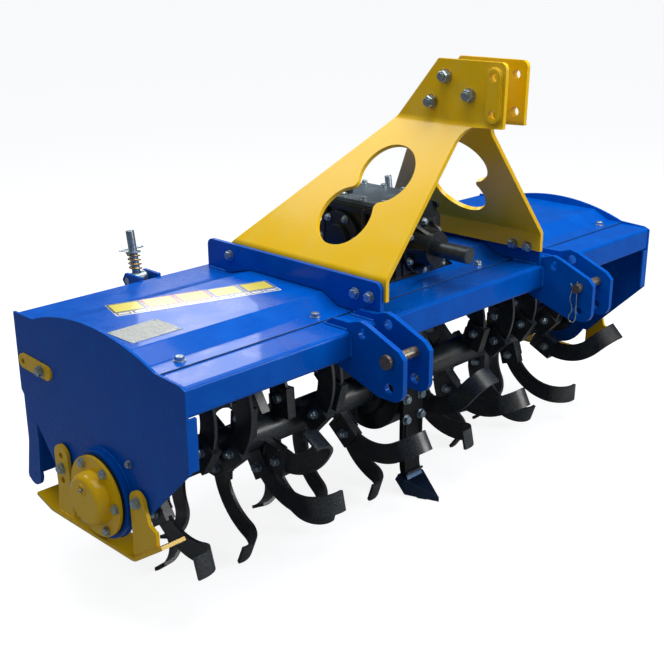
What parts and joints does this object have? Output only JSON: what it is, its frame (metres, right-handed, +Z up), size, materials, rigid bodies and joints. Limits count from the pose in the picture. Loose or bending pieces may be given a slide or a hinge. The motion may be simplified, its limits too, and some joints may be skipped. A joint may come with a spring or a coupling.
{
  "type": "rotary tiller",
  "caption": "Tractor-mounted rotary tiller with three-point mast, centre drive gearbox, tined rotor, skids and hinged trailing board.",
  "frame": {"origin": "centre of the footprint on the floor", "axes": "+X towards the driver's left along the rotor, +Y back from the tractor, +Z up"},
  "size_m": [1.738, 0.807, 1.075],
  "materials": {
    "blue_paint": "gloss blue enamel",
    "yellow_paint": "gloss yellow enamel",
    "black_paint": "satin black paint",
    "black_casting": "painted casting",
    "grey_cover": "satin grey paint",
    "bright_steel": "machined steel",
    "zinc": "zinc plated steel"
  },
  "bodies": {
    "frame": {"end_plate_left": "blue_paint", "end_plate_right": "blue_paint", "front_beam": "blue_paint", "hood": "blue_paint", "rear_rail": "blue_paint", "hinge_rod": "zinc", "mast_bracket_left": "blue_paint", "mast_bracket_right": "blue_paint", "mast_plate_left": "yellow_paint", "mast_plate_right": "yellow_paint", "top_link_doubler_left": "yellow_paint", "top_link_doubler_right": "yellow_paint", "mast_spacers": "zinc", "hitch_clevis_left": "blue_paint", "hitch_clevis_right": "blue_paint", "hitch_pin_left": "zinc", "hitch_pin_right": "zinc", "gearbox_housing": "black_casting", "gearbox_top_cover": "grey_cover", "gearbox_side_cover_left": "black_casting", "gearbox_side_cover_right": "black_casting", "input_cover": "black_casting", "drive_case": "black_casting", "centre_chisel": "black_paint", "bearing_housing_left": "black_casting", "bearing_housing_right": "black_casting", "bearing_cap_left": "yellow_paint", "bearing_cap_right": "yellow_paint", "skid_left": "yellow_paint", "skid_right": "yellow_paint", "skid_washers_left": "zinc", "skid_washers_right": "zinc", "strap_link_left": "yellow_paint", "strap_link_right": "yellow_paint", "adjuster_bracket_left": "blue_paint", "adjuster_bracket_right": "blue_paint"},
    "rotor": {"rotor_left": "black_paint", "rotor_right": "black_paint"},
    "input_shaft": {"input_shaft": "bright_steel"},
    "trailing_board": {"trailing_board": "blue_paint"},
    "adjuster_swivel_left": {"adjuster_swivel_left": "zinc"},
    "adjuster_swivel_right": {"adjuster_swivel_right": "zinc"},
    "adjuster_rod_left": {"adjuster_rod_left": "zinc", "adjuster_spring_left": "zinc"},
    "adjuster_rod_right": {"adjuster_rod_right": "zinc", "adjuster_spring_right": "zinc"}
  },
  "joints": [
    {"name": "rotor_turn", "type": "hinge", "parent": "frame", "child": "rotor", "pos_m": [0, 0.0156, 0.26], "axis": [1, 0, 0], "continuous": true},
    {"name": "input_shaft_turn", "type": "hinge", "parent": "frame", "child": "input_shaft", "pos_m": [0, -0.1844, 0.644], "axis": [0, 1, 0], "continuous": true},
    {"name": "board_lift", "type": "hinge", "parent": "frame", "child": "trailing_board", "pos_m": [0, 0.3296, 0.552], "axis": [1, 0, 0], "range_deg": [0, 32]},
    {"name": "adjuster_swing_left", "type": "hinge", "parent": "frame", "child": "adjuster_swivel_left", "pos_m": [0.455, 0.3756, 0.56], "axis": [1, 0, 0], "range_deg": [0, 32.9]},
    {"name": "adjuster_slide_left", "type": "slide", "parent": "adjuster_swivel_left", "child": "adjuster_rod_left", "axis": [0, 0.158, 0.9874], "range_m": [0, 0.0267]},
    {"name": "adjuster_swing_right", "type": "hinge", "parent": "frame", "child": "adjuster_swivel_right", "pos_m": [-0.455, 0.3756, 0.56], "axis": [1, 0, 0], "range_deg": [0, 32.9]},
    {"name": "adjuster_slide_right", "type": "slide", "parent": "adjuster_swivel_right", "child": "adjuster_rod_right", "axis": [0, 0.158, 0.9874], "range_m": [0, 0.0267]}
  ],
  "couplings": [
    {"joint": "input_shaft_turn", "follows": "rotor_turn", "ratio": 2.35},
    {"joint": "adjuster_swing_left", "follows": "board_lift", "ratio": 0.9812},
    {"joint": "adjuster_slide_left", "follows": "board_lift", "m_per_rad": 0.04601},
    {"joint": "adjuster_swing_right", "follows": "board_lift", "ratio": 0.9812},
    {"joint": "adjuster_slide_right", "follows": "board_lift", "m_per_rad": 0.04601}
  ]
}
